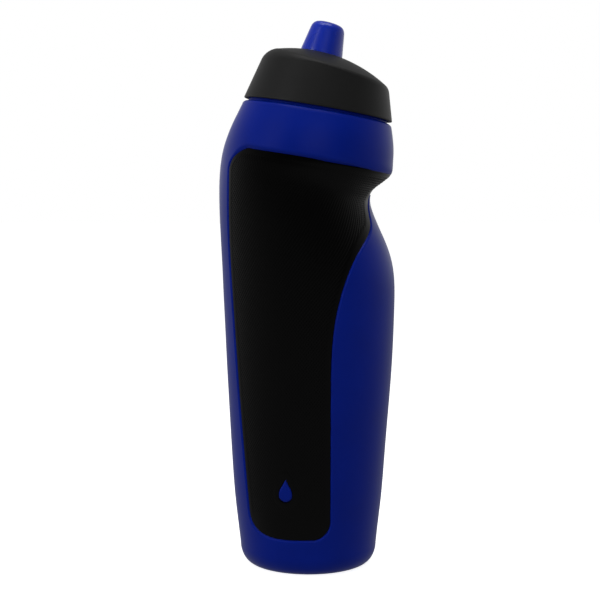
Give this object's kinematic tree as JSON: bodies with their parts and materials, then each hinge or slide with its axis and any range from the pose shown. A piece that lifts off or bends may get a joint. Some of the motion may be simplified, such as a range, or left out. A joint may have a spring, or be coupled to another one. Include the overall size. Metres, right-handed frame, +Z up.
{
  "type": "sports squeeze bottle",
  "caption": "Squeezable sports drinking bottle with a finger waist, a textured soft grip, a slanted screw lid and a push-pull drinking nozzle.",
  "frame": {"origin": "on the floor under the middle of the bottle's box; the foot ring's centre stands there to within a millimetre", "axes": "+Z up, +X towards the front with the finger waist, +Y to the bottle's side"},
  "size_m": [0.0748, 0.0722, 0.2315],
  "materials": {
    "body_blue": "glossy blow-moulded low-density polyethylene, deep blue",
    "grip_black": "black thermoplastic elastomer with a fine dimpled texture",
    "lid_black": "matt black moulded polypropylene",
    "liner_black": "black moulded polypropylene",
    "seal_silicone": "translucent grey silicone",
    "stem_grey": "dark grey moulded polypropylene",
    "spout_blue": "satin blue moulded polyethylene"
  },
  "bodies": {
    "bottle": {"bottle_body": "body_blue", "grip_sleeve": "grip_black"},
    "gasket": {"lid_gasket": "seal_silicone"},
    "lid": {"lid_cover": "lid_black", "lid_liner": "liner_black", "valve_stem": "stem_grey"},
    "seal": {"spout_seal": "seal_silicone"},
    "nozzle": {"spout": "spout_blue"}
  },
  "joints": [
    {"name": "lid_rise", "type": "slide", "parent": "bottle", "child": "gasket", "axis": [0.1668, 0, 0.986], "range_m": [0, 0.0101]},
    {"name": "lid_turn", "type": "hinge", "parent": "gasket", "child": "lid", "pos_m": [0.0038, 0, 0.19286], "axis": [0.1668, 0, 0.986], "range_deg": [0, 450]},
    {"name": "spout_pull", "type": "slide", "parent": "lid", "child": "seal", "axis": [0.2521, 0, 0.9677], "range_m": [0, 0.0055]},
    {"name": "spout_spin", "type": "hinge", "parent": "seal", "child": "nozzle", "pos_m": [0.00339, 0, 0.20954], "axis": [0.2521, 0, 0.9677], "continuous": true}
  ],
  "couplings": [
    {"joint": "lid_rise", "follows": "lid_turn", "m_per_rad": 0.0012732}
  ]
}
